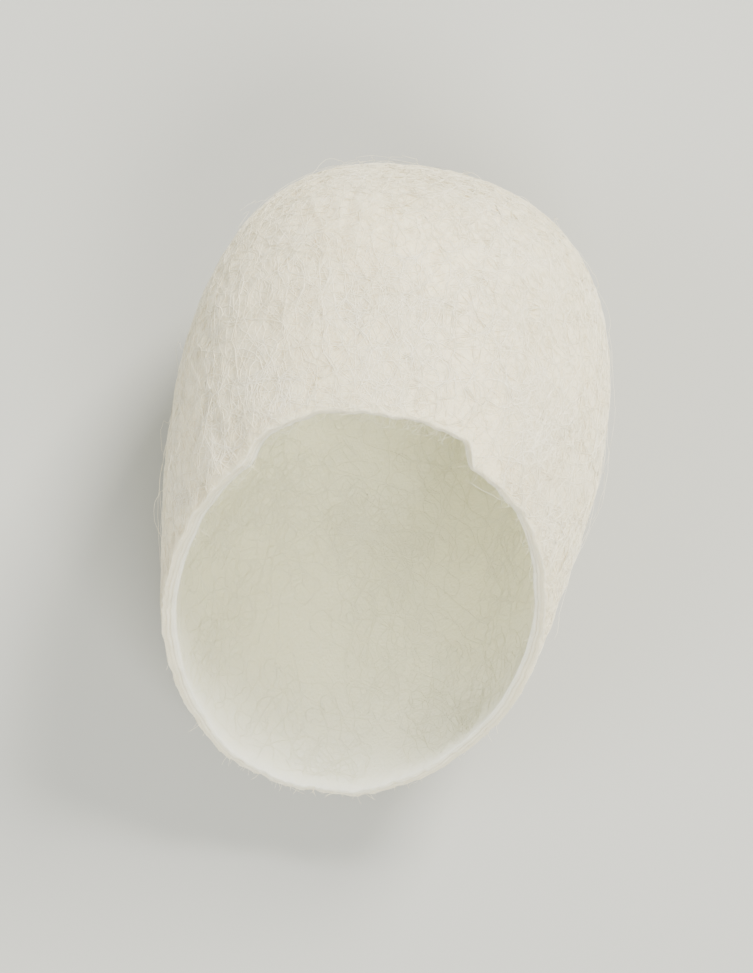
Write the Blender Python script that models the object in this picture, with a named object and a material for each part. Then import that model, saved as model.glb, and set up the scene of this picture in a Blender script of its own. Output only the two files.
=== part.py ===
"""An empty silkworm cocoon, cut open with one slanting cut and lying on its back.

Metres, +Z up. The closed end points to +Y and the cut mouth faces -Y and up. The cocoon rests on a
small flat spot on its belly at Z = 0, and its bounding box is centred on X = 0 and Y = 0.

A place on the skin is given by two angles: polar runs from 0 at the closed end to pi at the end
that was cut away, and around runs about the long axis from 0 at the top.
"""

import math

import bmesh
import bpy
from mathutils import Vector

# Driving dimensions
SPUN_LENGTH = 0.0350        # end to end, as the cocoon was spun, before the cut
MID_RADIUS = 0.00936        # halfway along
WALL = 0.0006               # thickness of the silk wall
CUT_START = 0.0118          # from the closed end to where the cut meets the top
CUT_ANGLE = math.radians(41.8)  # between the cut and the long axis
CUT_TURN = math.radians(4.0)    # how far the cut is turned from straight across
BELLY_DEPTH = 0.00042       # how far the resting spot is pressed in

# The egg-like outline
TAPER = 0.27                # fuller towards the closed end, slimmer towards the mouth
FULLNESS = 0.098            # blunter ends
ROUNDNESS = 0.85            # 1 gives elliptical ends, less gives squarer ones
OVALITY = 0.008             # wider than tall
LOBES = 0.006               # uneven roundness of a spun thing
LOBE_TWIST = 1.3

# Mesh density
SEGMENTS = 60               # around the long axis
RINGS = 26                  # from the closed end to the rim
CUT_SEARCH_STEPS = 30

SILK_COLOUR = (0.72, 0.69, 0.61, 1.0)
SILK_ROUGHNESS = 0.62
SILK_METALLIC = 0.0


def clear_scene():
    """Remove every object of the open scene."""
    for thing in list(bpy.data.objects):
        bpy.data.objects.remove(thing, do_unlink=True)


def skin_point(polar, around):
    """Give the point of the outer skin at two angles, with the middle of the spun length at 0."""
    station = -math.cos(polar)
    outline = 1 - TAPER * station + FULLNESS * station**2
    unevenness = 1 - OVALITY * math.cos(2 * around) + LOBES * math.cos(3 * around + LOBE_TWIST * polar)
    radius = MID_RADIUS * outline * math.sin(polar) ** ROUNDNESS * unevenness
    return Vector((radius * math.sin(around), -station * SPUN_LENGTH / 2, radius * math.cos(around)))


def rim_polar(around, start, normal):
    """Find by halving the polar angle at which the cut plane crosses the skin."""
    kept, removed = 0.0, math.pi
    for _ in range(CUT_SEARCH_STEPS):
        middle = (kept + removed) / 2
        if (skin_point(middle, around) - start).dot(normal) > 0:
            removed = middle
        else:
            kept = middle
    return kept


def skin_sheet():
    """Build the outer skin from the closed end to the slanting rim, as an open sheet."""
    start = skin_point(math.acos(1 - 2 * CUT_START / SPUN_LENGTH), 0.0)
    back = math.sin(CUT_ANGLE)
    normal = Vector((back * math.sin(CUT_TURN), -back * math.cos(CUT_TURN), math.cos(CUT_ANGLE)))

    sheet = bmesh.new()
    pole = sheet.verts.new(skin_point(0.0, 0.0))
    columns = []
    for segment in range(SEGMENTS):
        around = 2 * math.pi * segment / SEGMENTS
        reach = rim_polar(around, start, normal)
        points = (skin_point(reach * ring / RINGS, around) for ring in range(1, RINGS + 1))
        columns.append([sheet.verts.new(point) for point in points])

    for segment, column in enumerate(columns):
        following = columns[(segment + 1) % SEGMENTS]
        sheet.faces.new((pole, column[0], following[0]))
        for inner in range(RINGS - 1):
            outer = inner + 1
            sheet.faces.new((column[inner], column[outer], following[outer], following[inner]))
    bmesh.ops.recalc_face_normals(sheet, faces=sheet.faces)
    return sheet


def press_belly(sheet):
    """Flatten the lowest skin into the spot that the cocoon rests on."""
    spot = min(vert.co.z for vert in sheet.verts) + BELLY_DEPTH
    for vert in sheet.verts:
        vert.co.z = max(vert.co.z, spot)


def set_down(sheet):
    """Move the sheet so that it stands on Z = 0 with its bounding box centred."""
    xs, ys, zs = zip(*(vert.co for vert in sheet.verts))
    middle = Vector(((min(xs) + max(xs)) / 2, (min(ys) + max(ys)) / 2, min(zs)))
    bmesh.ops.translate(sheet, verts=sheet.verts, vec=-middle)


def silk_material():
    """Make the off-white, satin silk."""
    silk = bpy.data.materials.new("silk")
    silk.use_nodes = True
    shader = silk.node_tree.nodes["Principled BSDF"]
    shader.inputs["Base Color"].default_value = SILK_COLOUR
    shader.inputs["Roughness"].default_value = SILK_ROUGHNESS
    shader.inputs["Metallic"].default_value = SILK_METALLIC
    return silk


def make_cocoon():
    """Make the one-piece cocoon: the skin, thickened inwards to the silk wall."""
    sheet = skin_sheet()
    press_belly(sheet)
    set_down(sheet)
    for edge in sheet.edges:
        edge.smooth = not edge.is_boundary

    mesh = bpy.data.meshes.new("cocoon")
    sheet.to_mesh(mesh)
    sheet.free()
    for face in mesh.polygons:
        face.use_smooth = True
    mesh.materials.append(silk_material())

    cocoon = bpy.data.objects.new("cocoon", mesh)
    bpy.context.scene.collection.objects.link(cocoon)
    wall = cocoon.modifiers.new("wall", "SOLIDIFY")
    wall.thickness = WALL
    wall.offset = -1.0
    wall.use_even_offset = True
    wall.use_rim = True
    return cocoon


clear_scene()
make_cocoon()
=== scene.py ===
"""Looks of an empty silkworm cocoon that was cut open and lies on its back.

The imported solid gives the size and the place. This script rebuilds its wall as spun silk: a
crinkled outer skin, a smoother inside, a layered cut edge, filament laid in figures of eight on
both sides, stray floss and the frayed ends along the cut. Lengths are in metres and +Z is up.
"""

import logging
import math
from dataclasses import dataclass, field
from enum import Enum

import bpy
import numpy as np
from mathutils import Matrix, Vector, noise
from mathutils.bvhtree import BVHTree


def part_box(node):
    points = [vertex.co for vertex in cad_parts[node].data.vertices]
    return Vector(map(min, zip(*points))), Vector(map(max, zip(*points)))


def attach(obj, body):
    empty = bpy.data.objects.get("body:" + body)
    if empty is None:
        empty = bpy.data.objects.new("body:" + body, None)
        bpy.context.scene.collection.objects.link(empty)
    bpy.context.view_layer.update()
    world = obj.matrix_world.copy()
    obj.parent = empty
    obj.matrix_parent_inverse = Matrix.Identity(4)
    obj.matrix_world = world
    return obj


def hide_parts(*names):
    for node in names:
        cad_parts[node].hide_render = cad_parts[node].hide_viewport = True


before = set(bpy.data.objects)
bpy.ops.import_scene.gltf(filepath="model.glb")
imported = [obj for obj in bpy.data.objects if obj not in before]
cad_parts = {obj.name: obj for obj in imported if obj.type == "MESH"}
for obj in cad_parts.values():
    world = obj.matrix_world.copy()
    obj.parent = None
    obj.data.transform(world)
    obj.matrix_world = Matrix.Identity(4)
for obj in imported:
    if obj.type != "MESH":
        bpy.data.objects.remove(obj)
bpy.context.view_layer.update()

log = logging.getLogger("cocoon")

MM = 0.001
TURN = 2 * math.pi
SILK_IOR = 1.5
BODY = "root"
NODE = "cocoon"
BAKE_MAP = "OFBake"
MAP_END = 0.01  # how much of the map's height the end caps take


class Side(Enum):
    """The two faces of the silk wall."""

    OUTSIDE = "outside"
    INSIDE = "inside"


class Section(Enum):
    """Three-sided sections of a filament: the corners' places sideways and upwards, in radii."""

    ROUND = ((0.0, 1.0), (-0.866, -0.5), (0.866, -0.5))
    STUCK_DOWN = ((0.0, 0.52), (-1.0, -0.3), (1.0, -0.3))


# ---------------------------------------------------------------------------------------------
# Shader building
# ---------------------------------------------------------------------------------------------


class Signal:
    """An output socket in a shader tree. Arithmetic on it adds Math nodes."""

    def __init__(self, tree: "ShaderTree", socket: bpy.types.NodeSocket) -> None:
        """Keep the tree and the socket."""
        self.tree = tree
        self.socket = socket

    def _math(self, operation: str, first: "Signal | float", second: "Signal | float") -> "Signal":
        """Add one Math node.

        Args:
            operation: The Math node's operation.
            first: Its first value.
            second: Its second value.

        Returns:
            The node's output.
        """
        return self.tree.node("ShaderNodeMath", {"operation": operation}, {0: first, 1: second})

    def __add__(self, other: "Signal | float") -> "Signal":
        """Add."""
        return self._math("ADD", self, other)

    def __radd__(self, other: float) -> "Signal":
        """Add, with the number first."""
        return self._math("ADD", other, self)

    def __sub__(self, other: "Signal | float") -> "Signal":
        """Subtract."""
        return self._math("SUBTRACT", self, other)

    def __rsub__(self, other: float) -> "Signal":
        """Subtract from a number."""
        return self._math("SUBTRACT", other, self)

    def __mul__(self, other: "Signal | float") -> "Signal":
        """Multiply."""
        return self._math("MULTIPLY", self, other)

    def __rmul__(self, other: float) -> "Signal":
        """Multiply, with the number first."""
        return self._math("MULTIPLY", other, self)

    def size(self) -> "Signal":
        """Give the value without its sign."""
        return self._math("ABSOLUTE", self, 0.0)

    def limited(self) -> "Signal":
        """Keep the value between 0 and 1."""
        return self.tree.node("ShaderNodeClamp", {}, {"Value": self})


class ShaderTree:
    """A new material and its nodes."""

    def __init__(self, name: str) -> None:
        """Make a material that holds only a Principled shader and its output.

        Args:
            name: The material's name.
        """
        self.material = bpy.data.materials.new(name)
        self.material.use_nodes = True
        self.nodes = self.material.node_tree.nodes
        self.shader = self.nodes["Principled BSDF"]

    def node(self, kind: str, settings: dict, inputs: dict, output: int | str = 0) -> Signal:
        """Add any node.

        Args:
            kind: The node's type.
            settings: Attributes to set first.
            inputs: Values or signals by input name or number.
            output: Which output to give.

        Returns:
            That output.
        """
        made = self.nodes.new(kind)
        for name, value in settings.items():
            setattr(made, name, value)
        for name, value in inputs.items():
            self._feed(made.inputs[name], value)
        return Signal(self, made.outputs[output])

    def _feed(self, socket: bpy.types.NodeSocket, value: object) -> None:
        """Link a signal to a socket, or set the socket's own value.

        Args:
            socket: The input to feed.
            value: A signal or a plain value.
        """
        if isinstance(value, Signal):
            self.material.node_tree.links.new(value.socket, socket)
        else:
            socket.default_value = value

    def place(self) -> Signal:
        """Give the place on the object, in metres."""
        return self.node("ShaderNodeTexCoord", {}, {}, "Object")

    def attribute(self, name: str) -> Signal:
        """Give a mesh attribute as a number."""
        return self.node("ShaderNodeAttribute", {"attribute_name": name}, {}, "Fac")

    def grain(
        self, place: Signal, scale: float, detail: float = 2.0, roughness: float = 0.5
    ) -> Signal:
        """Add a noise texture.

        Args:
            place: Where it is read.
            scale: Its repeats per metre.
            detail: Its octaves.
            roughness: How strong the finer octaves are.

        Returns:
            The noise, from 0 to 1.
        """
        inputs = {"Vector": place, "Scale": scale, "Detail": detail, "Roughness": roughness}
        return self.node("ShaderNodeTexNoise", {"noise_dimensions": "3D"}, inputs, "Fac")

    def turned(self, place: Signal, turn: tuple, stretch: tuple) -> Signal:
        """Turn and stretch a place, so that a texture read there runs in streaks.

        Args:
            place: The place.
            turn: The rotation about X, Y and Z, in radians.
            stretch: The scale along X, Y and Z, after the turn.

        Returns:
            The changed place.
        """
        inputs = {"Vector": place, "Rotation": turn}
        turned = self.node("ShaderNodeMapping", {"vector_type": "POINT"}, inputs)
        return self.node("ShaderNodeVectorMath", {"operation": "MULTIPLY"}, {0: turned, 1: stretch})

    def blend(self, share: Signal | float, first: object, second: object) -> Signal:
        """Mix two colours.

        Args:
            share: How much of the second.
            first: A colour.
            second: A colour.

        Returns:
            The mixed colour.
        """
        inputs = {0: share, 6: first, 7: second}
        return self.node("ShaderNodeMix", {"data_type": "RGBA"}, inputs, 2)

    def bump(self, height: Signal, depth: float) -> Signal:
        """Turn a height from 0 to 1 into a normal.

        Args:
            height: The height.
            depth: How deep a height of 1 is, in metres.

        Returns:
            The normal.
        """
        inputs = {"Strength": 1.0, "Distance": depth, "Height": height}
        return self.node("ShaderNodeBump", {}, inputs)

    def finish(self, constants: dict, signals: dict) -> bpy.types.Material:
        """Feed the Principled shader.

        Args:
            constants: Values that are the same all over.
            signals: What varies over the surface.

        Returns:
            The finished material.
        """
        for name, value in {**constants, **signals}.items():
            self._feed(self.shader.inputs[name], value)
        return self.material


def linear(red: int, green: int, blue: int) -> tuple[float, float, float, float]:
    """Turn a display colour, 0 to 255 a channel, into the linear colour that shaders use.

    Args:
        red: The red channel.
        green: The green channel.
        blue: The blue channel.

    Returns:
        The linear colour with an alpha of 1.
    """
    shares = (channel / 255 for channel in (red, green, blue))
    values = (c / 12.92 if c <= 0.04045 else ((c + 0.055) / 1.055) ** 2.4 for c in shares)
    return (*values, 1.0)


@dataclass(frozen=True)
class WallSilk:
    """The felted silk of the wall: off-white and satin outside, creamier and smoother inside."""

    outside: tuple = linear(241, 231, 197)
    # the darker tone of blotches, and painted shade in the crinkles' valleys and the streaks'
    # grooves
    blotch_and_crease_shade: tuple = linear(226, 214, 176)
    # painted shade in the gaps between the layers of the cut edge
    layer_gap_shade: tuple = linear(210, 198, 166)
    inside: tuple = linear(239, 237, 205)
    # the darker tone of blotches inside, and painted shade in the streaks' grooves
    inside_blotch_and_shade: tuple = linear(231, 228, 192)
    # painted light on the inside near the mouth, for light that comes through the thin wall
    painted_mouth_light: tuple = linear(251, 248, 226)
    blotch_grain: float = 160.0  # this grain and the next five are in repeats per metre
    waver_grain: float = 520.0
    wrinkle_grain: float = 2600.0
    streak_grain: float = 6500.0
    speck_grain: float = 9000.0
    streak_turns: tuple = ((0.0, 0.0, 0.5), (0.0, 0.0, -0.62), (0.55, 0.2, 1.5), (-0.5, 0.3, 0.05))
    streak_stretch: float = 0.09
    layer_count: float = 7.0
    layer_waver: float = 2.4
    roughness: float = 0.66
    inside_polish: float = 0.16
    relief_depth: float = 0.000038
    scatter: float = 0.6
    scatter_depth: float = 0.00050
    scatter_colour: tuple = (1.0, 0.94, 0.84)

    def material(self) -> bpy.types.Material:
        """Make the wall's material.

        Returns:
            The material.
        """
        tree = ShaderTree("wall_silk")
        place = tree.place()
        inside = tree.attribute("inside")
        edge = tree.attribute("edge")
        blotches = tree.grain(place, self.blotch_grain)
        streaks = self._streaks(tree, place)
        layers = self._layers(tree, place)

        colour = self._colour(tree, inside, blotches, streaks)
        # painted shade in the gaps between the cut edge's layers
        colour = tree.blend(edge * layers * 0.7, colour, self.layer_gap_shade)
        roughness = self.roughness + (streaks - 0.5) * 0.22 - inside * self.inside_polish

        specks = tree.grain(place, self.speck_grain, 1.0)
        wrinkles = 1.0 - (tree.grain(place, self.wrinkle_grain) * 2.0 - 1.0).size() * 2.0
        height = streaks * (1.0 - inside * 0.35) + wrinkles * (0.9 - inside * 0.5) + specks * 0.16
        height = height * (1.0 - edge * 0.5) - edge * layers * 1.2
        constants = {
            "Subsurface Weight": self.scatter,
            "Subsurface Radius": self.scatter_colour,
            "Subsurface Scale": self.scatter_depth,
            "Sheen Weight": 0.12,
            "Sheen Roughness": 0.45,
            "IOR": SILK_IOR,
            "Metallic": 0.0,
        }
        relief = tree.bump(height, self.relief_depth)
        signals = {"Base Color": colour, "Roughness": roughness, "Normal": relief}
        return tree.finish(constants, signals)

    def _colour(
        self, tree: ShaderTree, inside: Signal, blotches: Signal, streaks: Signal
    ) -> Signal:
        """Colour the two sides of the wall: painted shade in the crinkles and in the streaks'
        grooves, over blotches of uneven tone, and painted light inside near the mouth.

        Args:
            tree: The tree to add to.
            inside: 0 on the outer skin and 1 inside.
            blotches: The silk's uneven tone.
            streaks: The height of the fine streaks.

        Returns:
            The colour.
        """
        valley_shade = tree.attribute("valley_shade")
        # outside: painted shade in the crinkles' valleys and the streaks' grooves, mixed with the
        # silk's blotches of uneven tone
        outer_blotch_and_shade = (valley_shade * 0.55 + (blotches - 0.5) * 0.9 + (0.5 - streaks) * 0.5).limited()
        outer = tree.blend(outer_blotch_and_shade, self.outside, self.blotch_and_crease_shade)
        # inside: blotches of uneven tone, and painted shade in the streaks' grooves
        inner_blotch_and_shade = ((blotches - 0.35) * 0.8 + (0.5 - streaks) * 0.3).limited()
        inner = tree.blend(inner_blotch_and_shade, self.inside, self.inside_blotch_and_shade)
        # painted light: paler inside near the mouth
        inner = tree.blend(tree.attribute("mouth_light"), inner, self.painted_mouth_light)
        return tree.blend(inside, outer, inner)

    def _layers(self, tree: ShaderTree, place: Signal) -> Signal:
        """Make the lines between the silk's layers, which run along the cut edge.

        Args:
            tree: The tree to add to.
            place: Where their waver is read.

        Returns:
            0 on a layer and 1 in the gap beside it.
        """
        waver = tree.grain(place, self.waver_grain)
        depth = tree.attribute("layer") * self.layer_count + waver * self.layer_waver
        inputs = {"W": depth, "Scale": 1.0}
        lines = tree.node("ShaderNodeTexNoise", {"noise_dimensions": "1D"}, inputs, "Fac")
        return (0.55 - lines).limited() * 3.0

    def _streaks(self, tree: ShaderTree, place: Signal) -> Signal:
        """Make the fine crossing streaks of felted filament.

        Args:
            tree: The tree to add to.
            place: Where they are read.

        Returns:
            Their height, about 0 to 1.
        """
        ridges = []
        for turn in self.streak_turns:
            run = tree.turned(place, turn, (1.0, self.streak_stretch, 1.0))
            ridges.append((tree.grain(run, self.streak_grain, 1.0) * 2.0 - 1.0).size())
        return 1.0 - sum(ridges[1:], ridges[0]) * 0.55


@dataclass(frozen=True)
class FilamentSilk:
    """The silk of single filaments."""

    name: str
    light: tuple = linear(252, 246, 222)
    dark: tuple = linear(244, 235, 202)
    roughness: float = 0.42

    def material(self) -> bpy.types.Material:
        """Make the filament's material.

        Returns:
            The material.
        """
        tree = ShaderTree(self.name)
        place = tree.place()
        tone = (tree.grain(place, 420.0, 3.0, 0.6) * 2.2 - 0.6).limited()
        colour = tree.blend(tone, self.light, self.dark)
        constants = {
            "Roughness": self.roughness,
            "Subsurface Weight": 0.0,
            "Sheen Weight": 0.15,
            "Sheen Roughness": 0.4,
            "IOR": SILK_IOR,
            "Metallic": 0.0,
        }
        return tree.finish(constants, {"Base Color": colour})


@dataclass(frozen=True)
class FloorPaint:
    """The plain pale floor."""

    tone: tuple = linear(184, 185, 178)
    other: tuple = linear(180, 181, 174)

    def material(self) -> bpy.types.Material:
        """Make the floor's material.

        Returns:
            The material.
        """
        tree = ShaderTree("floor_paint")
        clouds = tree.grain(tree.place(), 14.0, 3.0)
        colour = tree.blend(clouds, self.tone, self.other)
        return tree.finish({"Roughness": 0.85, "IOR": 1.4}, {"Base Color": colour})


# ---------------------------------------------------------------------------------------------
# The cocoon's form
# ---------------------------------------------------------------------------------------------


@dataclass
class CocoonForm:
    """The egg shape with its slanting cut and its resting spot.

    A place on the skin is given by two angles: polar runs from 0 at the closed end to pi at the end
    that was cut away, and around runs about the long axis from 0 at the top.
    """

    spun_length: float = 0.0350
    mid_radius: float = 0.00936
    wall: float = 0.0006
    cut_start: float = 0.0118
    cut_angle: float = math.radians(41.8)
    cut_turn: float = math.radians(4.0)
    belly_depth: float = 0.00042
    taper: float = 0.27
    fullness: float = 0.098
    roundness: float = 0.85
    ovality: float = 0.008
    lobes: float = 0.006
    lobe_twist: float = 1.3
    snip_middle: float = math.radians(-6.0)
    first_snip: float = math.radians(29.5)
    snip_blend: float = math.radians(3.5)
    snip_step: float = 0.00050
    waves: tuple = ((5, 0.055, 0.7), (11, 0.040, 2.1), (29, 0.022, 1.0))  # count, mm, start
    nicks: int = 53
    nick_depth: float = 0.000016
    shift: np.ndarray = field(default_factory=lambda: np.zeros(3))
    spot: float = -1.0

    def place(self, low: Vector, high: Vector) -> None:
        """Move the form to where the solid lies.

        Args:
            low: The solid's lowest corner.
            high: The solid's highest corner.
        """
        around = np.linspace(0.0, TURN, 240, endpoint=False)[None, :]
        polar = np.linspace(0.0, 1.0, 200)[:, None] * self.reach(around, ragged=False)
        points = self.skin(polar, np.broadcast_to(around, polar.shape)).reshape(-1, 3)
        self.spot = points[:, 2].min() + self.belly_depth
        middle = (points.min(axis=0) + points.max(axis=0)) / 2
        target = (np.array(low) + np.array(high)) / 2
        self.shift = np.array([target[0] - middle[0], target[1] - middle[1], low.z - self.spot])
        self.spot = low.z

    def skin(self, polar: np.ndarray, around: np.ndarray) -> np.ndarray:
        """Give points of the smooth outer skin.

        Args:
            polar: The polar angles.
            around: The angles about the long axis.

        Returns:
            The points, with X, Y and Z last.
        """
        station = -np.cos(polar)
        outline = 1 - self.taper * station + self.fullness * station**2
        lobes = self.lobes * np.cos(3 * around + self.lobe_twist * polar)
        unevenness = 1 - self.ovality * np.cos(2 * around) + lobes
        spread = np.sin(np.clip(polar, 0.0, math.pi)) ** self.roundness
        radius = self.mid_radius * outline * spread * unevenness
        along = -station * self.spun_length / 2 * np.ones_like(radius)
        points = np.stack([radius * np.sin(around), along, radius * np.cos(around)], axis=-1)
        points += self.shift
        points[..., 2] = np.maximum(points[..., 2], self.spot)
        return points

    def above_cut(self, points: np.ndarray) -> np.ndarray:
        """Give how far points lie past the flat cut, on the side that was removed.

        Args:
            points: The points.

        Returns:
            Their distances in metres, negative on the cocoon that is left.
        """
        polar = math.acos(1 - 2 * self.cut_start / self.spun_length)
        start = self.skin(np.array(polar), np.array(0.0))
        back = math.sin(self.cut_angle)
        across, along = back * math.sin(self.cut_turn), -back * math.cos(self.cut_turn)
        return (points - start) @ np.array([across, along, math.cos(self.cut_angle)])

    def raggedness(self, around: np.ndarray) -> np.ndarray:
        """Give how far the real edge stands past the flat cut: one deeper snip, and small waves.

        Args:
            around: The angles about the long axis.

        Returns:
            The distances in metres.
        """
        angle = np.abs((around - self.snip_middle + math.pi) % TURN - math.pi)
        share = np.clip((angle - self.first_snip) / self.snip_blend + 0.5, 0.0, 1.0)
        step = (share * share * (3 - 2 * share) - 0.35) * self.snip_step
        step = step * (0.45 + 0.55 * np.cos(angle / 2))
        waves = sum(size * np.sin(count * around + start) for count, size, start in self.waves) * MM
        nicks = self.nick_depth * np.sin(self.nicks * around + 4.0 * np.sin(3 * around))
        return step + waves + nicks

    def reach(self, around: np.ndarray, ragged: bool = True) -> np.ndarray:
        """Find, by halving, the polar angle of the rim.

        Args:
            around: The angles about the long axis.
            ragged: Whether the real, uneven edge is wanted and not the flat cut.

        Returns:
            The polar angles of the rim.
        """
        past = self.raggedness(around) if ragged else np.zeros_like(around)
        kept, removed = np.zeros_like(around), np.full_like(around, math.pi)
        for _ in range(32):
            middle = (kept + removed) / 2
            outside = self.above_cut(self.skin(middle, around)) > past
            removed = np.where(outside, middle, removed)
            kept = np.where(outside, kept, middle)
        return kept


def grid_normals(points: np.ndarray) -> np.ndarray:
    """Give unit normals of a grid of points that closes on itself around.

    Args:
        points: Rows of points from the closed end, each row going around.

    Returns:
        The outward normals, in the same order.
    """
    wrapped = np.concatenate([points[:, -1:], points, points[:, :1]], axis=1)
    across = (wrapped[:, 2:] - wrapped[:, :-2]) / 2
    along = np.gradient(points, axis=0)
    normals = np.cross(along, across)
    return normals / np.maximum(np.linalg.norm(normals, axis=-1, keepdims=True), 1e-12)


def band_faces(rows: int, n: int) -> np.ndarray:
    """List the faces of rows of points that close on themselves around.

    Args:
        rows: How many rows there are.
        n: How many points there are in each.

    Returns:
        The faces, four corners each.
    """
    column = np.arange(n)
    following = (column + 1) % n
    row = np.arange(rows - 1)[:, None] * n
    corners = (row + column, row + n + column, row + n + following, row + following)
    return np.stack(corners, axis=-1).reshape(-1, 4)


def corner_map(*corners: tuple) -> np.ndarray:
    """Put the maps of faces together from those of their four corners.

    Args:
        corners: The two coordinates of each corner, as numbers or arrays that fit together.

    Returns:
        The maps, by face, corner and coordinate.
    """
    flat = np.broadcast_arrays(*(coordinate for corner in corners for coordinate in corner))
    return np.stack(flat, axis=-1).reshape(-1, 4, 2)


def add_mesh(
    name: str, points: np.ndarray, faces: np.ndarray, uv: np.ndarray
) -> bpy.types.Object:
    """Make a smooth mesh object from arrays.

    Args:
        name: The object's name.
        points: Its points.
        faces: Its faces, four corners each, with a corner repeated where a face is a triangle.
        uv: The map of each corner, in the order of the faces.

    Returns:
        The object.
    """
    corners = np.ones(faces.shape, bool)
    corners[:, 3] = faces[:, 2] != faces[:, 3]
    sizes = corners.sum(axis=1)
    starts = np.concatenate([[0], np.cumsum(sizes)[:-1]])
    mesh = bpy.data.meshes.new(name)
    mesh.vertices.add(len(points))
    mesh.vertices.foreach_set("co", points.astype(np.float32).ravel())
    mesh.loops.add(int(sizes.sum()))
    mesh.loops.foreach_set("vertex_index", faces[corners].astype(np.int32))
    mesh.polygons.add(len(faces))
    mesh.polygons.foreach_set("loop_start", starts.astype(np.int32))
    mesh.uv_layers.new(name=BAKE_MAP)
    mesh.update(calc_edges=True)
    mesh.validate()
    mesh.uv_layers[BAKE_MAP].data.foreach_set("uv", uv[corners].astype(np.float32).ravel())
    mesh.shade_smooth()
    made = bpy.data.objects.new(name, mesh)
    bpy.context.scene.collection.objects.link(made)
    return made


def hand_over(piece: bpy.types.Object, material: bpy.types.Material) -> None:
    """Dress a piece of the cocoon and tie it to the frame.

    Args:
        piece: The piece.
        material: Its material.
    """
    piece.data.materials.append(material)
    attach(piece, BODY)
    log.info("%s: %d faces", piece.name, len(piece.data.polygons))


# ---------------------------------------------------------------------------------------------
# The wall
# ---------------------------------------------------------------------------------------------


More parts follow.
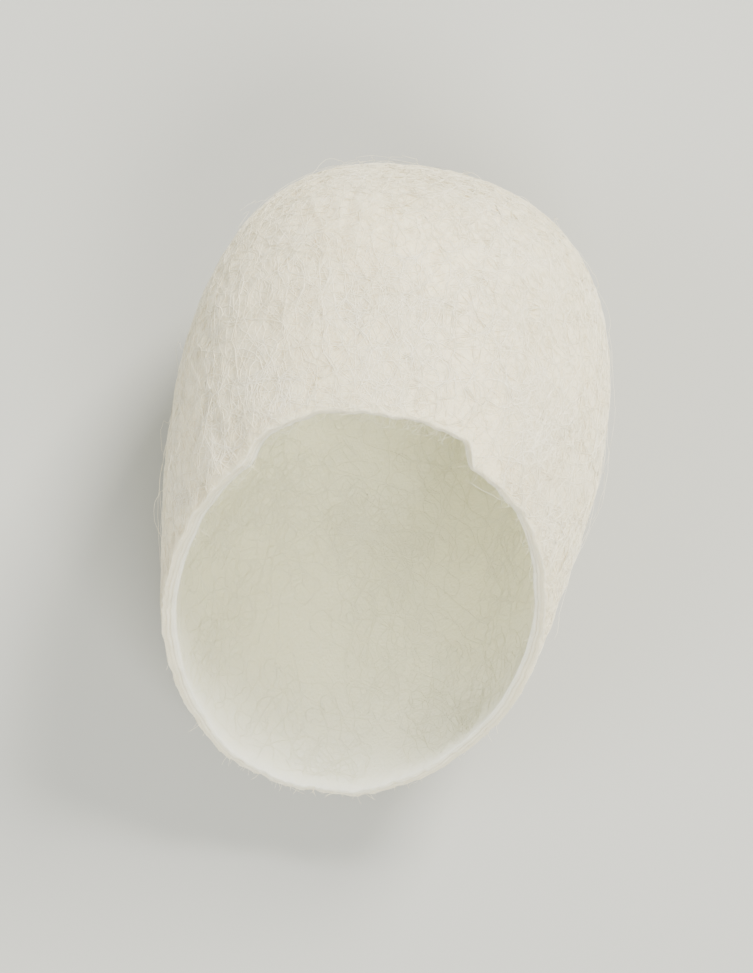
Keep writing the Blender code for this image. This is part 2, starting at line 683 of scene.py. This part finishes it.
@dataclass
class SilkWall:
    """The cocoon's wall: crinkled outer skin, layered cut edge and smoother inside, in one mesh."""

    form: CocoonForm
    segments: int = 400
    outer_rings: int = 188
    edge_rings: int = 14
    inner_rings: int = 40
    spare: float = 0.3
    spare_rings: int = 9
    crinkle_depth: float = 0.000088
    belly_fade: float = 0.00025
    bulge: float = 0.000085
    layer_depth: float = 0.000070
    # how deep into the hollow the painted light near the mouth reaches
    mouth_light_depth: float = 0.0046
    seed: int = 3
    trees: dict = field(default_factory=dict)
    piece: bpy.types.Object | None = None

    def crinkle(self, point: np.ndarray) -> float:
        """Give the height of the outer skin's crinkles.

        Args:
            point: A point of the smooth skin.

        Returns:
            The height, about -1 to 1.
        """
        spot = Vector((point[0], point[1] * 0.8, point[2])) / MM
        bend = noise.noise_vector(spot * 0.6) * 0.6
        folds = 1 - 3.2 * abs(noise.noise(spot * 0.85 + bend))
        wrinkles = 1 - 3.2 * abs(noise.noise(spot * 1.7 + bend * 1.5))
        swell = noise.noise(spot * 0.2)
        return 0.5 * folds + 0.38 * wrinkles + 0.8 * swell

    def _outer(self, around: np.ndarray) -> tuple[np.ndarray, np.ndarray]:
        """Make the outer skin.

        Args:
            around: The angles of the columns.

        Returns:
            The rows of points from next to the closed end to the rim, and their crinkle heights.
        """
        share = (np.arange(self.outer_rings + 1) / self.outer_rings)[:, None]
        polar = share * self.form.reach(around)[None, :]
        base = self.form.skin(polar, np.broadcast_to(around[None, :], polar.shape))
        normals = grid_normals(base)
        flat = base[1:].reshape(-1, 3)
        heights = np.array([self.crinkle(point) for point in flat]).reshape(self.outer_rings, -1)
        lift = heights * self.crinkle_depth * self._belly_calm(base[1:])
        return base[1:] + normals[1:] * lift[..., None], heights

    def _belly_calm(self, points: np.ndarray) -> np.ndarray:
        """Give how much relief is left near the resting spot, which is pressed smooth.

        Args:
            points: Points of the smooth skin.

        Returns:
            Factors from 0 on the spot to 1.
        """
        return np.clip((points[..., 2] - self.form.spot) / self.belly_fade, 0.0, 1.0)

    def _inner(self, around: np.ndarray) -> np.ndarray:
        """Make the inside of the wall.

        Args:
            around: The angles of the columns.

        Returns:
            The rows of points from the rim to next to the closed end.
        """
        share = (np.arange(self.inner_rings + 1) / self.inner_rings)[:, None]
        polar = share * self.form.reach(around)[None, :]
        base = self.form.skin(polar, np.broadcast_to(around[None, :], polar.shape))
        normals = grid_normals(base)[1:]
        flat = [Vector(point) for point in base[1:].reshape(-1, 3) / MM]
        relief = [
            0.018 * noise.noise(spot * 1.1) + 0.030 * noise.noise(spot * 0.35) for spot in flat
        ]
        depth = self.form.wall + np.array(relief).reshape(self.inner_rings, -1) * MM
        return (base[1:] - normals * depth[..., None])[::-1]

    def _edge(self, outer: np.ndarray, inner: np.ndarray, around: np.ndarray) -> np.ndarray:
        """Make the cut edge, on which the wall's layers show.

        Args:
            outer: The outer skin's rows.
            inner: The inside's rows, from the rim.
            around: The angles of the columns.

        Returns:
            The rows of points between the two.
        """
        first, last = outer[-1], inner[0]
        outward = outer[-1] - outer[-4] + inner[0] - inner[3]
        outward /= np.linalg.norm(outward, axis=-1, keepdims=True)
        rows = []
        for ring in range(1, self.edge_rings):
            share = ring / self.edge_rings
            bulge = self.bulge * math.sin(math.pi * share) ** 0.6
            layers = [
                noise.noise(Vector((angle * 26.0, share * 7.5, 3.0)))
                + 0.5 * noise.noise(Vector((angle * 75.0, share * 9.0, 7.0)))
                for angle in around
            ]
            push = bulge + self.layer_depth * np.array(layers)
            rows.append(first + (last - first) * share + outward * push[:, None])
        return np.stack(rows)

    def build(self) -> bpy.types.Object:
        """Make the wall's mesh and the trees that find the nearest place on each side of it.

        Returns:
            The wall.
        """
        noise.seed_set(self.seed)  # without it, the bend in the crinkles follows the clock
        around = TURN * np.arange(self.segments) / self.segments
        outer, heights = self._outer(around)
        inner = self._inner(around)
        rows = np.concatenate([outer, self._edge(outer, inner, around), inner])
        tip = self.form.skin(np.array(0.0), np.array(0.0))
        points = np.concatenate([[tip], rows.reshape(-1, 3), [tip - [0.0, self.form.wall, 0.0]]])
        faces, uv = self._faces(len(rows))

        self.piece = add_mesh("cocoon_wall", points, faces, uv)
        layer = np.linspace(0.0, 1.0, self.edge_rings + 1)[1:-1]
        self._write_rows("inside", layer, 1.0)
        self._write_rows("layer", layer, 1.0)
        self._write_rows("edge", np.minimum(1.0, 4 * np.minimum(layer, 1 - layer)), 0.0)
        # painted shade in the valleys between the outer skin's crinkles
        valley_shade = np.zeros(rows.shape[:2])
        valley_shade[: self.outer_rings] = np.clip(0.25 - heights * 0.7, 0.0, 1.0)
        self._write("valley_shade", np.concatenate([[0.0], valley_shade.ravel(), [0.0]]))
        # painted light on the inside near the mouth, strongest at the rim
        mouth_lightness = np.clip(1 + self.form.above_cut(points) / self.mouth_light_depth, 0.0, 1.0)
        self._write("mouth_light", mouth_lightness**1.2)
        self._plant(outer, inner, around)
        return self.piece

    def _faces(self, rows: int) -> tuple[np.ndarray, np.ndarray]:
        """List the wall's faces and their map.

        Args:
            rows: How many rows of points there are between the two tips.

        Returns:
            The faces, and the map of each face's four corners.
        """
        n = self.segments
        column = np.arange(n)
        following = (column + 1) % n
        cap = np.stack([np.zeros(n, int), column + 1, following + 1, following + 1], axis=1)
        start = (rows - 1) * n + 1
        last_tip = np.full(n, rows * n + 1)
        end = np.stack([last_tip, start + following, start + column, start + column], axis=1)
        band = band_faces(rows, n) + 1

        left, right = column / n, (column + 1) / n
        middle = (left + right) / 2
        low = np.arange(rows - 1)[:, None] / rows * (1 - 2 * MAP_END) + MAP_END
        high = low + (1 - 2 * MAP_END) / rows
        band_uv = corner_map((left, low), (left, high), (right, high), (right, low))
        near, far = MAP_END, 1 - MAP_END
        cap_uv = corner_map((middle, 0.0), (left, near), (right, near), (right, near))
        end_uv = corner_map((middle, 1.0), (right, far), (left, far), (left, far))
        return np.concatenate([cap, band, end]), np.concatenate([cap_uv, band_uv, end_uv])

    def _write_rows(self, name: str, edge: np.ndarray, inner: float) -> None:
        """Store a number that is 0 on the outer skin, and changes only over the cut edge.

        Args:
            name: The attribute's name.
            edge: The numbers of the edge's rows.
            inner: The number of the inside.
        """
        rows = np.concatenate([np.zeros(self.outer_rings), edge, np.full(self.inner_rings, inner)])
        self._write(name, np.concatenate([[0.0], np.repeat(rows, self.segments), [inner]]))

    def _write(self, name: str, values: np.ndarray) -> None:
        """Store a number for each point of the wall.

        Args:
            name: The attribute's name.
            values: The numbers.
        """
        made = self.piece.data.attributes.new(name, "FLOAT", "POINT")
        made.data.foreach_set("value", values.astype(np.float32))

    def _plant(self, outer: np.ndarray, inner: np.ndarray, around: np.ndarray) -> None:
        """Make one search tree for each side, reaching past the rim so that filament can cross it.

        Args:
            outer: The outer skin's rows.
            inner: The inside's rows, from the rim.
            around: The angles of the columns.
        """
        extra = np.linspace(0.0, self.spare, self.spare_rings)[:, None]
        beyond = extra + self.form.reach(around)[None, :]
        base = self.form.skin(beyond, np.broadcast_to(around, beyond.shape))
        lining = base - grid_normals(base) * self.form.wall
        outside = np.concatenate([outer, base[1:] + (outer[-1] - base[0])])
        inside = np.concatenate([inner[::-1], lining[1:] + (inner[0] - lining[0])])
        # the columns of the inside run the other way, so that its faces look into the hollow
        for side, sheet in ((Side.OUTSIDE, outside), (Side.INSIDE, inside[:, ::-1])):
            self.trees[side] = SideOfWall.of_sheet(sheet)


@dataclass
class SideOfWall:
    """One side of the wall, for finding places on it."""

    tree: BVHTree
    centres: np.ndarray
    areas: np.ndarray

    @classmethod
    def of_sheet(cls, sheet: np.ndarray) -> "SideOfWall":
        """Make the side from rows of points that close on themselves around.

        Args:
            sheet: The rows of points.

        Returns:
            The side.
        """
        faces = band_faces(*sheet.shape[:2])
        points = sheet.reshape(-1, 3)
        corners = points[faces]
        diagonals = corners[:, 2] - corners[:, 0], corners[:, 1] - corners[:, 3]
        areas = np.linalg.norm(np.cross(*diagonals), axis=1)
        tree = BVHTree.FromPolygons([Vector(point) for point in points], faces.tolist())
        return cls(tree, corners.mean(axis=1), areas)

    def pick(self, count: int, rng: np.random.Generator) -> np.ndarray:
        """Pick places spread evenly over the side.

        Args:
            count: How many.
            rng: The random source.

        Returns:
            The places.
        """
        return self.centres[rng.choice(len(self.centres), count, p=self.areas / self.areas.sum())]

    def settle(self, points: np.ndarray) -> tuple[np.ndarray, np.ndarray]:
        """Move points to the nearest places on the side.

        Args:
            points: The points.

        Returns:
            The places, and the wall's normals there.
        """
        found = [self.tree.find_nearest(Vector(point)) for point in points]
        return np.array([hit[0] for hit in found]), np.array([hit[1] for hit in found])


# ---------------------------------------------------------------------------------------------
# Filament
# ---------------------------------------------------------------------------------------------


@dataclass
class Filament:
    """One run of filament: its centre line, the upward direction along it and its radius."""

    line: np.ndarray
    up: np.ndarray
    radius: float
    section: Section = Section.ROUND
    end_taper: float = 0.35

    def rings(self) -> np.ndarray:
        """Give the three corners of the filament's section at each point of its line.

        Returns:
            The corners, by point and then by corner.
        """
        run = np.gradient(self.line, axis=0)
        run /= np.maximum(np.linalg.norm(run, axis=1, keepdims=True), 1e-12)
        across = np.cross(run, self.up)
        across /= np.maximum(np.linalg.norm(across, axis=1, keepdims=True), 1e-12)
        rise = np.cross(across, run)
        thickness = np.full(len(self.line), self.radius)
        thickness[[0, -1]] *= self.end_taper
        corners = [
            self.line + (across * sideways + rise * upwards) * thickness[:, None]
            for sideways, upwards in self.section.value
        ]
        return np.stack(corners, axis=1)


def filament_mesh(name: str, filaments: list[Filament], ground: float) -> bpy.types.Object:
    """Join many filaments in one mesh of closed three-sided tubes.

    Args:
        name: The object's name.
        filaments: The filaments.
        ground: The height below which nothing reaches.

    Returns:
        The object.
    """
    points, faces, maps = [], [], []
    start = 0
    lanes = len(filaments)
    side = np.arange(3)
    for lane, filament in enumerate(filaments):
        rings = filament.rings()
        rings[..., 2] = np.maximum(rings[..., 2], ground)
        points.append(rings.reshape(-1, 3))
        count = len(rings)
        last = start + (count - 1) * 3
        ends = [[start + 2, start + 1, start, start], [last, last + 1, last + 2, last + 2]]
        faces += [band_faces(count, 3)[:, [0, 3, 2, 1]] + start, np.array(ends)]

        along = np.arange(count) / (count - 1) * (1 - 2 * MAP_END) + MAP_END
        near, far = along[:-1, None], along[1:, None]
        low, high = (lane + (side + 0.1) / 3.3) / lanes, (lane + (side + 0.9) / 3.3) / lanes
        maps.append(corner_map((near, low), (near, high), (far, high), (far, low)))
        bottom, top = lane / lanes, (lane + 0.9) / lanes
        for first in (0.0, 1 - MAP_END):
            corner = (first + MAP_END, bottom)
            maps.append(corner_map((first, bottom), (first + MAP_END / 2, top), corner, corner))
        start += count * 3
    return add_mesh(name, np.concatenate(points), np.concatenate(faces), np.concatenate(maps))


def side_frame(normals: np.ndarray) -> tuple[np.ndarray, np.ndarray]:
    """Give two directions along the wall for each of its normals.

    Args:
        normals: The normals.

    Returns:
        Unit directions across and along the wall.
    """
    helper = np.where(np.abs(normals[:, 1:2]) < 0.9, [[0.0, 1.0, 0.0]], [[1.0, 0.0, 0.0]])
    across = np.cross(helper, normals)
    across /= np.linalg.norm(across, axis=1, keepdims=True)
    return across, np.cross(normals, across)


def kept_runs(keep: np.ndarray, least: int) -> list[slice]:
    """Split a line into the runs of it that are kept.

    Args:
        keep: Which points are kept.
        least: The fewest points that a run may have.

    Returns:
        The runs.
    """
    edges = np.flatnonzero(np.diff(np.concatenate([[0], keep.astype(int), [0]])))
    pairs = zip(edges[::2], edges[1::2])
    return [slice(first, last) for first, last in pairs if last - first >= least]


@dataclass
class FigureEights:
    """A layer of filament that the silkworm laid on one side of the wall in figures of eight."""

    name: str
    wall: SilkWall
    side: Side
    seed: int
    count: int
    radius: float
    swing: float = 0.0050
    loops: float = 2.4
    step: float = 0.00030
    crimp: float = 0.000085
    crimp_waves: tuple = (7.0, 13.0, 23.0)
    loop_length: float = 2.6
    belly_fade: float = 0.00015
    lift: float = 0.0
    finish: FilamentSilk = FilamentSilk("filament_silk")

    def _line(self, rng: np.random.Generator) -> tuple[np.ndarray, np.ndarray]:
        """Draw one run of figures of eight on a flat.

        Args:
            rng: The random source.

        Returns:
            Its two coordinates, in metres.
        """
        width = self.swing * rng.uniform(0.6, 1.35)
        height = width * rng.uniform(0.28, 0.5)
        loops = self.loops * rng.uniform(0.7, 1.3)
        count = max(int(loops * width * self.loop_length / self.step), 8)
        turn = np.linspace(0.0, loops * TURN, count)
        turn = turn + rng.uniform(0.0, TURN)
        advance = (turn - turn[0]) / TURN * width * rng.uniform(0.1, 0.4)
        a = width / 2 * np.sin(turn)
        b = height / 2 * np.sin(2 * turn) + advance
        for coordinate in (a, b):
            for waves in self.crimp_waves:
                swing = self.crimp * rng.uniform(0.3, 1.0) * 9.0 / waves
                phase = turn * waves * rng.uniform(0.8, 1.2) + rng.uniform(0.0, 6.3)
                coordinate += swing * np.sin(phase)
        heading = rng.uniform(0.0, TURN)
        cos, sin = math.cos(heading), math.sin(heading)
        return a * cos - b * sin, a * sin + b * cos

    def filaments(self) -> list[Filament]:
        """Lay the filament on the wall and cut it off at the rim.

        Returns:
            The filaments.
        """
        rng = np.random.default_rng(self.seed)
        side = self.wall.trees[self.side]
        seeds, normals = side.settle(side.pick(self.count, rng))
        across, along = side_frame(normals)
        form = self.wall.form
        made = []
        for seed, right, ahead in zip(seeds, across, along):
            a, b = self._line(rng)
            points, ups = side.settle(seed + a[:, None] * right + b[:, None] * ahead)
            keep = form.above_cut(points) < self._margin(points)
            height = np.full(len(points), self.lift + self.radius * 0.35)
            if self.side is Side.OUTSIDE:
                height *= np.clip((points[:, 2] - form.spot) / self.belly_fade, 0.0, 1.0)
            raised = points + ups * height[:, None]
            for run in kept_runs(keep, 5):
                thickness = self.radius * rng.uniform(0.75, 1.15)
                made.append(Filament(raised[run], ups[run], thickness, Section.STUCK_DOWN))
        return made

    def _margin(self, points: np.ndarray) -> np.ndarray:
        """Give how far past the flat cut the filament may go before it meets the real rim.

        Args:
            points: Points on the wall.

        Returns:
            The distances in metres.
        """
        middle = self.wall.form.shift
        around = np.arctan2(points[:, 0] - middle[0], points[:, 2] - middle[2])
        return self.wall.form.raggedness(around) - 0.01 * MM

    def build(self) -> bpy.types.Object:
        """Make the layer's mesh.

        Returns:
            The layer.
        """
        return filament_mesh(self.name, self.filaments(), self.wall.form.spot)


@dataclass
class StrayFloss:
    """Loose floss: long, thin filaments that wander over the skin and lift off it in places."""

    name: str
    wall: SilkWall
    seed: int
    count: int = 150
    radius: float = 0.000008
    step: float = 0.00032
    rise: float = 0.00030
    bend: float = 0.16
    belly_fade: float = 0.0015
    rim_gap: float = 0.0001
    finish: FilamentSilk = FilamentSilk("floss_silk", roughness=0.4)

    def build(self) -> bpy.types.Object:
        """Make the floss's mesh.

        Returns:
            The floss.
        """
        rng = np.random.default_rng(self.seed)
        side = self.wall.trees[Side.OUTSIDE]
        seeds, normals = side.settle(side.pick(self.count, rng))
        across, along = side_frame(normals)
        made = []
        for seed, right, ahead in zip(seeds, across, along):
            count = int(rng.integers(24, 70))
            heading = rng.uniform(0.0, TURN) + np.cumsum(rng.normal(0.0, self.bend, count))
            a = np.cumsum(np.cos(heading)) * self.step
            b = np.cumsum(np.sin(heading)) * self.step
            points, ups = side.settle(seed + a[:, None] * right + b[:, None] * ahead)
            share = np.linspace(0.0, 1.0, count)
            ripple = 1 + np.sin(share * rng.uniform(5, 14) + rng.uniform(0, 6.3))
            height = np.sin(math.pi * share) * ripple * self.rise * rng.uniform(0.15, 1.0)
            free = np.clip((points[:, 2] - self.wall.form.spot) / self.belly_fade, 0.0, 1.0)
            line = points + ups * (0.01 * MM + height * free)[:, None]
            keep = self.wall.form.above_cut(points) < -self.rim_gap
            for run in kept_runs(keep, 6):
                made.append(Filament(line[run], ups[run], self.radius * rng.uniform(0.7, 1.4)))
        return filament_mesh(self.name, made, self.wall.form.spot)


@dataclass
class FrayedRim:
    """The cut ends of filament that stick out along the rim."""

    name: str
    wall: SilkWall
    seed: int
    count: int = 460
    radius: float = 0.000008
    longest: float = 0.00060
    shortest: float = 0.00010
    rooting: float = 0.00005
    points: int = 8
    finish: FilamentSilk = FilamentSilk("cut_end_silk", roughness=0.4)

    def build(self) -> bpy.types.Object:
        """Make the frayed ends' mesh.

        Returns:
            The frayed ends.
        """
        rng = np.random.default_rng(self.seed)
        form = self.wall.form
        around = rng.uniform(0.0, TURN, self.count)
        reach = form.reach(around)
        rim = form.skin(reach, around)
        outward = rim - form.skin(reach - 0.02, around)
        outward /= np.linalg.norm(outward, axis=1, keepdims=True)
        normal = np.cross(outward, form.skin(reach, around + 0.01) - rim)
        normal /= np.linalg.norm(normal, axis=1, keepdims=True)
        beside = np.cross(normal, outward)
        made = []
        share = np.linspace(0.0, 1.0, self.points)[:, None]
        for place, out, up, aside in zip(rim, outward, normal, beside):
            root = place - up * rng.uniform(0.03, 0.97) * form.wall - out * self.rooting
            length = self.longest * rng.uniform(0.1, 1.0) ** 3 + self.shortest
            aim = out + up * rng.normal(0, 0.4) + aside * rng.normal(0, 0.9)
            aim /= np.linalg.norm(aim)
            curl = up * rng.normal(0, 0.5) + aside * rng.normal(0, 0.8)
            line = root + (aim * share + curl * share**2 * 0.7) * length
            ups = np.broadcast_to(up, line.shape)
            made.append(Filament(line, ups, self.radius * rng.uniform(0.7, 1.3)))
        return filament_mesh(self.name, made, form.spot)


# ---------------------------------------------------------------------------------------------
# The studio
# ---------------------------------------------------------------------------------------------


@dataclass(frozen=True)
class Lamp:
    """A soft square lamp: its place from the cocoon's middle, its side, its watts and its tint."""

    name: str
    place: tuple
    size: float
    power: float
    tint: tuple


@dataclass
class Studio:
    """A pale floor, soft lamps and a camera that looks straight down on the cocoon."""

    low: Vector
    high: Vector
    lens: float = 120.0
    lean: float = math.radians(11.1)
    share_of_height: float = 0.66
    sensor: float = 36.0
    floor_size: float = 3.0
    floor_gap: float = 0.00001
    room_tint: tuple = (0.93, 0.95, 0.94, 1.0)
    room_strength: float = 0.72
    lamps: tuple = (
        Lamp("key", (0.16, 0.36, 0.30), 0.14, 5.6, (1.0, 0.965, 0.91)),
        Lamp("fill", (-0.36, -0.10, 0.34), 0.34, 1.5, (0.99, 0.99, 0.97)),
        Lamp("front", (0.19, -0.22, 0.36), 0.26, 2.5, (1.0, 0.98, 0.93)),
    )

    def floor(self) -> None:
        """Make the floor that the cocoon lies on."""
        half, height = self.floor_size / 2, self.low.z - self.floor_gap
        corners = [(x * half, y * half, height) for x, y in ((-1, -1), (1, -1), (1, 1), (-1, 1))]
        mesh = bpy.data.meshes.new("floor")
        mesh.from_pydata(corners, [], [(0, 1, 2, 3)])
        mesh.materials.append(FloorPaint().material())
        made = bpy.data.objects.new("floor", mesh)
        bpy.context.scene.collection.objects.link(made)

    def hang(self, lamp: Lamp) -> None:
        """Hang a lamp so that it faces the cocoon.

        Args:
            lamp: The lamp.
        """
        light = bpy.data.lights.new(lamp.name, "AREA")
        light.shape = "SQUARE"
        light.size = lamp.size
        light.energy = lamp.power
        light.color = lamp.tint
        made = bpy.data.objects.new(lamp.name, light)
        middle = (self.low + self.high) / 2
        made.location = middle + Vector(lamp.place)
        made.rotation_euler = (middle - made.location).to_track_quat("-Z", "Y").to_euler()
        bpy.context.scene.collection.objects.link(made)

    def light(self) -> None:
        """Hang the lamps and light the room around them."""
        for lamp in self.lamps:
            self.hang(lamp)
        world = bpy.data.worlds.new("room")
        world.use_nodes = True
        background = world.node_tree.nodes["Background"]
        background.inputs["Color"].default_value = self.room_tint
        background.inputs["Strength"].default_value = self.room_strength
        bpy.context.scene.world = world

    def camera(self) -> None:
        """Set up the camera over the cocoon, with the closed end up and leaning a little right."""
        data = bpy.data.cameras.new("camera")
        data.lens = self.lens
        data.sensor_width = self.sensor
        made = bpy.data.objects.new("camera", data)
        middle = (self.low + self.high) / 2
        length = self.high.y - self.low.y
        distance = length / self.share_of_height * self.lens / self.sensor
        made.location = middle + Vector((0.0, 0.0, distance))
        made.rotation_euler = (0.0, 0.0, self.lean)
        data.clip_start = 0.01
        data.clip_end = 10.0
        bpy.context.scene.collection.objects.link(made)
        bpy.context.scene.camera = made


def main() -> None:
    """Build the cocoon and the studio."""
    logging.basicConfig(level=logging.INFO, format="%(name)s: %(message)s")
    low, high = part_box(NODE)
    studio = Studio(low, high)
    studio.floor()
    studio.light()
    studio.camera()

    form = CocoonForm()
    form.place(low, high)
    wall = SilkWall(form)
    piece = wall.build()
    hand_over(piece, WallSilk().material())
    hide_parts(NODE)

    inner_silk = FilamentSilk("inner_silk", linear(251, 249, 224), linear(242, 240, 206))
    layers = [
        FigureEights(
            "outer_filament", wall, Side.OUTSIDE, seed=11, count=375, radius=0.000023
        ),
        FigureEights(
            "top_filament", wall, Side.OUTSIDE, seed=12, count=390, radius=0.000018, lift=0.000010
        ),
        FigureEights(
            "inner_filament", wall, Side.INSIDE, seed=13, count=420, radius=0.000014,
            swing=0.0038, finish=inner_silk,
        ),
        StrayFloss("stray_floss", wall, seed=21),
        FrayedRim("frayed_rim", wall, seed=31),
    ]
    for layer in layers:
        hand_over(layer.build(), layer.finish.material())


if __name__ == "__main__":
    main()
